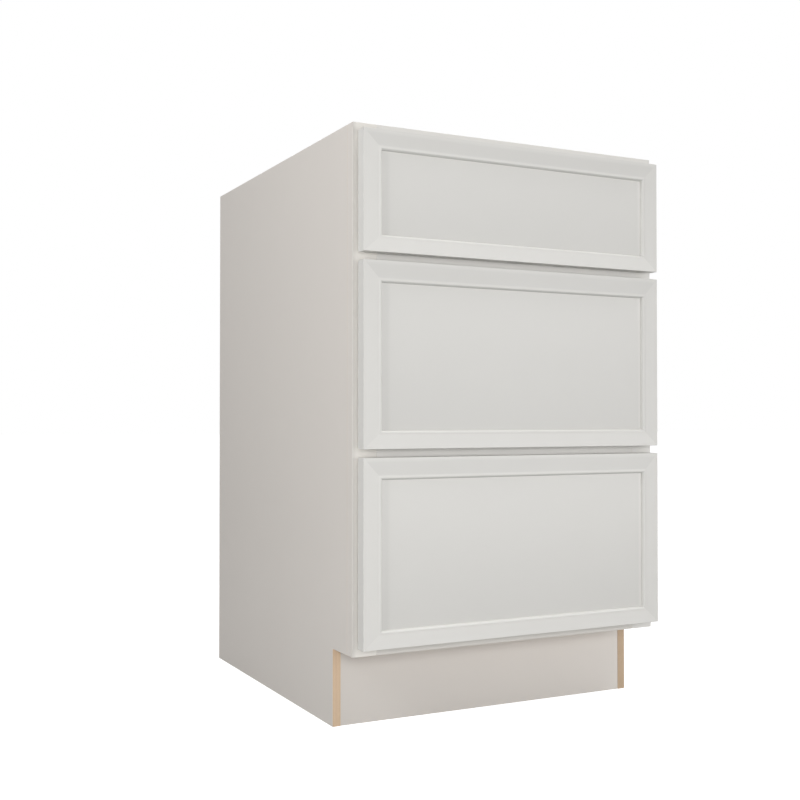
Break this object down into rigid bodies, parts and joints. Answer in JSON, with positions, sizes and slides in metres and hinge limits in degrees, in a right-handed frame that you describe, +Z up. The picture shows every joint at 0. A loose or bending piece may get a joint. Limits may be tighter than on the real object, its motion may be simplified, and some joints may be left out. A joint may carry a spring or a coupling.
{
  "type": "drawer base cabinet",
  "caption": "Kitchen base cabinet with a painted face frame and a stack of slim shaker drawers on full-extension undermount runners, open on top for a worktop.",
  "frame": {"origin": "on the floor, at the middle of the overall footprint, drawer fronts included", "axes": "+Z up, -Y out of the drawer fronts, +X to the right of someone who faces the drawers"},
  "size_m": [0.5334, 0.635, 0.8763],
  "materials": {
    "painted_wood": "satin warm off-white paint",
    "painted_plywood": "satin warm off-white paint on plywood, raw edges",
    "birch_plywood": "clear-lacquered birch plywood",
    "maple": "clear-lacquered solid maple",
    "zinc_steel": "zinc-plated rolled steel",
    "grey_plastic": "moulded grey plastic",
    "lever_plastic": "moulded orange plastic",
    "clear_rubber": "soft translucent rubber"
  },
  "bodies": {
    "carcass": {"left_end_panel": "painted_plywood", "right_end_panel": "painted_plywood", "cabinet_floor": "birch_plywood", "back_panel": "birch_plywood", "hanging_rail": "birch_plywood", "toe_kick_board": "painted_wood", "corner_braces": "birch_plywood", "back_screws": "zinc_steel", "frame_left_stile": "painted_wood", "frame_right_stile": "painted_wood", "frame_top_rail": "painted_wood", "frame_upper_middle_rail": "painted_wood", "frame_lower_middle_rail": "painted_wood", "frame_bottom_rail": "painted_wood", "front_bumpers": "clear_rubber", "cabinet_runners": "zinc_steel", "rear_sockets": "grey_plastic"},
    "top_drawer": {"top_front_panel": "painted_wood", "top_front_left_stile": "painted_wood", "top_front_right_stile": "painted_wood", "top_front_top_rail": "painted_wood", "top_front_bottom_rail": "painted_wood", "top_box_left_side": "maple", "top_box_right_side": "maple", "top_box_front": "maple", "top_box_back": "maple", "top_box_bottom": "maple", "top_drawer_runners": "zinc_steel", "top_locking_clips": "grey_plastic"},
    "top_runner_pair": {"top_intermediate_runners": "zinc_steel"},
    "top_lever_pair": {"top_release_levers": "lever_plastic"},
    "middle_drawer": {"middle_front_panel": "painted_wood", "middle_front_left_stile": "painted_wood", "middle_front_right_stile": "painted_wood", "middle_front_top_rail": "painted_wood", "middle_front_bottom_rail": "painted_wood", "middle_box_left_side": "maple", "middle_box_right_side": "maple", "middle_box_front": "maple", "middle_box_back": "maple", "middle_box_bottom": "maple", "middle_drawer_runners": "zinc_steel", "middle_locking_clips": "grey_plastic"},
    "middle_runner_pair": {"middle_intermediate_runners": "zinc_steel"},
    "middle_lever_pair": {"middle_release_levers": "lever_plastic"},
    "bottom_drawer": {"bottom_front_panel": "painted_wood", "bottom_front_left_stile": "painted_wood", "bottom_front_right_stile": "painted_wood", "bottom_front_top_rail": "painted_wood", "bottom_front_bottom_rail": "painted_wood", "bottom_box_left_side": "maple", "bottom_box_right_side": "maple", "bottom_box_front": "maple", "bottom_box_back": "maple", "bottom_box_bottom": "maple", "bottom_drawer_runners": "zinc_steel", "bottom_locking_clips": "grey_plastic"},
    "bottom_runner_pair": {"bottom_intermediate_runners": "zinc_steel"},
    "bottom_lever_pair": {"bottom_release_levers": "lever_plastic"}
  },
  "joints": [
    {"name": "top_drawer_slide", "type": "slide", "parent": "carcass", "child": "top_drawer", "axis": [0, -1, 0], "range_m": [0, 0.5]},
    {"name": "top_runner_slide", "type": "slide", "parent": "carcass", "child": "top_runner_pair", "axis": [0, -1, 0], "range_m": [0, 0.25]},
    {"name": "top_lever_slide", "type": "slide", "parent": "top_drawer", "child": "top_lever_pair", "axis": [0, -1, 0], "range_m": [0, 0.006], "stiffness_N_per_m": 300},
    {"name": "middle_drawer_slide", "type": "slide", "parent": "carcass", "child": "middle_drawer", "axis": [0, -1, 0], "range_m": [0, 0.5]},
    {"name": "middle_runner_slide", "type": "slide", "parent": "carcass", "child": "middle_runner_pair", "axis": [0, -1, 0], "range_m": [0, 0.25]},
    {"name": "middle_lever_slide", "type": "slide", "parent": "middle_drawer", "child": "middle_lever_pair", "axis": [0, -1, 0], "range_m": [0, 0.006], "stiffness_N_per_m": 300},
    {"name": "bottom_drawer_slide", "type": "slide", "parent": "carcass", "child": "bottom_drawer", "axis": [0, -1, 0], "range_m": [0, 0.5]},
    {"name": "bottom_runner_slide", "type": "slide", "parent": "carcass", "child": "bottom_runner_pair", "axis": [0, -1, 0], "range_m": [0, 0.25]},
    {"name": "bottom_lever_slide", "type": "slide", "parent": "bottom_drawer", "child": "bottom_lever_pair", "axis": [0, -1, 0], "range_m": [0, 0.006], "stiffness_N_per_m": 300}
  ],
  "couplings": [
    {"joint": "top_runner_slide", "follows": "top_drawer_slide", "ratio": 0.5},
    {"joint": "middle_runner_slide", "follows": "middle_drawer_slide", "ratio": 0.5},
    {"joint": "bottom_runner_slide", "follows": "bottom_drawer_slide", "ratio": 0.5}
  ]
}
